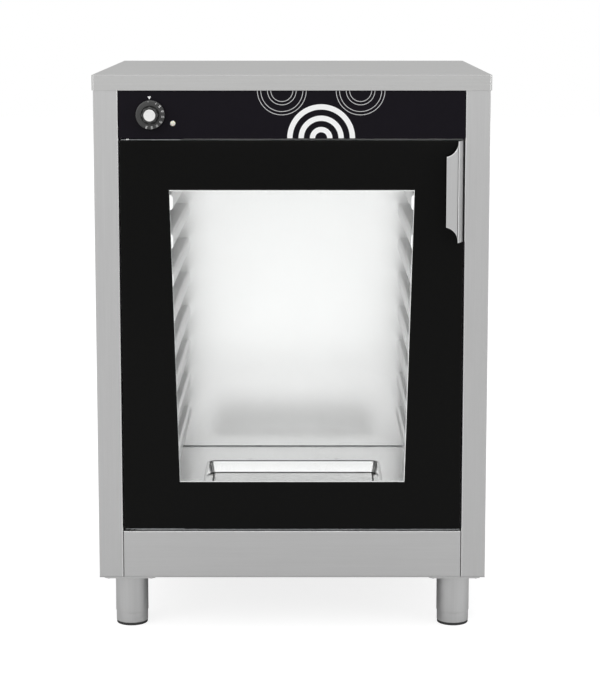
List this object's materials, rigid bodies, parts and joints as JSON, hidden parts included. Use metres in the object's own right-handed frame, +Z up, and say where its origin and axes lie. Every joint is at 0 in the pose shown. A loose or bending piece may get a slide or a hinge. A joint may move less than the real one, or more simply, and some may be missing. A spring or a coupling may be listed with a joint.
{
  "type": "proofing cabinet",
  "caption": "Free-standing steel proofing cabinet with a glass door, tray ledges, a heated water basin, a thermostat knob and round screw feet.",
  "frame": {"origin": "centre of the whole object's footprint, at floor level", "axes": "+Z up, +X to the right of someone facing the door, -Y towards the front"},
  "size_m": [0.6, 0.6199, 0.86],
  "materials": {
    "worktop_steel": "brushed stainless, grain across the width",
    "case_steel": "brushed stainless",
    "chamber_steel": "fine brushed stainless",
    "galvanised_steel": "galvanised, dull",
    "polished_steel": "bright stainless",
    "element_sheath": "dark heater sheath",
    "copper": "bare copper",
    "black_panel": "satin black with a white and grey print",
    "black_enamel": "black enamel print behind the glass",
    "clear_glass": "clear toughened glass",
    "black_rubber": "matt silicone seal",
    "black_plastic": "moulded, matt black",
    "white_plastic": "moulded, white",
    "lamp_lens": "warm white lens",
    "mineral_wool": "mineral wool slab"
  },
  "bodies": {
    "cabinet": {"worktop": "worktop_steel", "worktop_stiffener": "galvanised_steel", "side_shell_left": "case_steel", "side_shell_right": "case_steel", "back_panel": "case_steel", "base_panel": "case_steel", "front_plinth": "case_steel", "control_panel": "black_panel", "front_frame": "chamber_steel", "control_shelf": "galvanised_steel", "liner_left": "chamber_steel", "liner_right": "chamber_steel", "liner_ceiling": "chamber_steel", "liner_floor": "chamber_steel", "liner_back": "chamber_steel", "insulation_left": "mineral_wool", "insulation_right": "mineral_wool", "insulation_ceiling": "mineral_wool", "insulation_back": "mineral_wool", "insulation_floor": "mineral_wool", "tray_rack_left": "chamber_steel", "tray_rack_right": "chamber_steel", "heater_tray": "galvanised_steel", "heating_element": "element_sheath", "thermostat_bulb": "copper", "capillary_tube": "copper", "thermostat_body": "black_plastic", "pilot_lamp_lens": "lamp_lens", "pilot_lamp_body": "white_plastic", "terminal_block": "white_plastic", "mains_gland": "black_plastic", "hinge_bracket_top": "galvanised_steel", "hinge_bracket_bottom": "galvanised_steel", "hinge_washer": "white_plastic", "door_magnet": "black_plastic", "leg_tube_front_left": "case_steel", "leg_tube_front_right": "case_steel", "leg_tube_rear_left": "case_steel", "leg_tube_rear_right": "case_steel"},
    "door": {"door_glass": "clear_glass", "door_border": "black_enamel", "door_pan": "chamber_steel", "door_inner_glass": "clear_glass", "inner_glass_clamp": "galvanised_steel", "door_gasket": "black_rubber", "door_handle": "case_steel", "hinge_plate_top": "case_steel", "hinge_plate_bottom": "case_steel", "hinge_pin_top": "polished_steel", "hinge_pin_bottom": "polished_steel"},
    "knob": {"knob_dial": "black_plastic", "knob_hub": "black_plastic", "knob_cap": "white_plastic", "thermostat_shaft": "polished_steel"},
    "basin": {"water_basin": "polished_steel"},
    "foot_front_left": {"leg_foot_front_left": "case_steel"},
    "foot_front_right": {"leg_foot_front_right": "case_steel"},
    "foot_rear_left": {"leg_foot_rear_left": "case_steel"},
    "foot_rear_right": {"leg_foot_rear_right": "case_steel"}
  },
  "joints": [
    {"name": "door_hinge", "type": "hinge", "parent": "cabinet", "child": "door", "pos_m": [-0.2475, -0.2816, 0.46225], "axis": [0, 0, -1], "range_deg": [0, 120]},
    {"name": "thermostat_knob", "type": "hinge", "parent": "cabinet", "child": "knob", "pos_m": [-0.212, -0.2871, 0.8008], "axis": [0, 1, 0], "range_deg": [0, 270]},
    {"name": "basin_lift", "type": "slide", "parent": "cabinet", "child": "basin", "axis": [0, 0, 1], "range_m": [0, 0.12]},
    {"name": "foot_screw_front_left", "type": "slide", "parent": "cabinet", "child": "foot_front_left", "axis": [0, 0, -1], "range_m": [0, 0.02]},
    {"name": "foot_screw_front_right", "type": "slide", "parent": "cabinet", "child": "foot_front_right", "axis": [0, 0, -1], "range_m": [0, 0.02]},
    {"name": "foot_screw_rear_left", "type": "slide", "parent": "cabinet", "child": "foot_rear_left", "axis": [0, 0, -1], "range_m": [0, 0.02]},
    {"name": "foot_screw_rear_right", "type": "slide", "parent": "cabinet", "child": "foot_rear_right", "axis": [0, 0, -1], "range_m": [0, 0.02]}
  ]
}
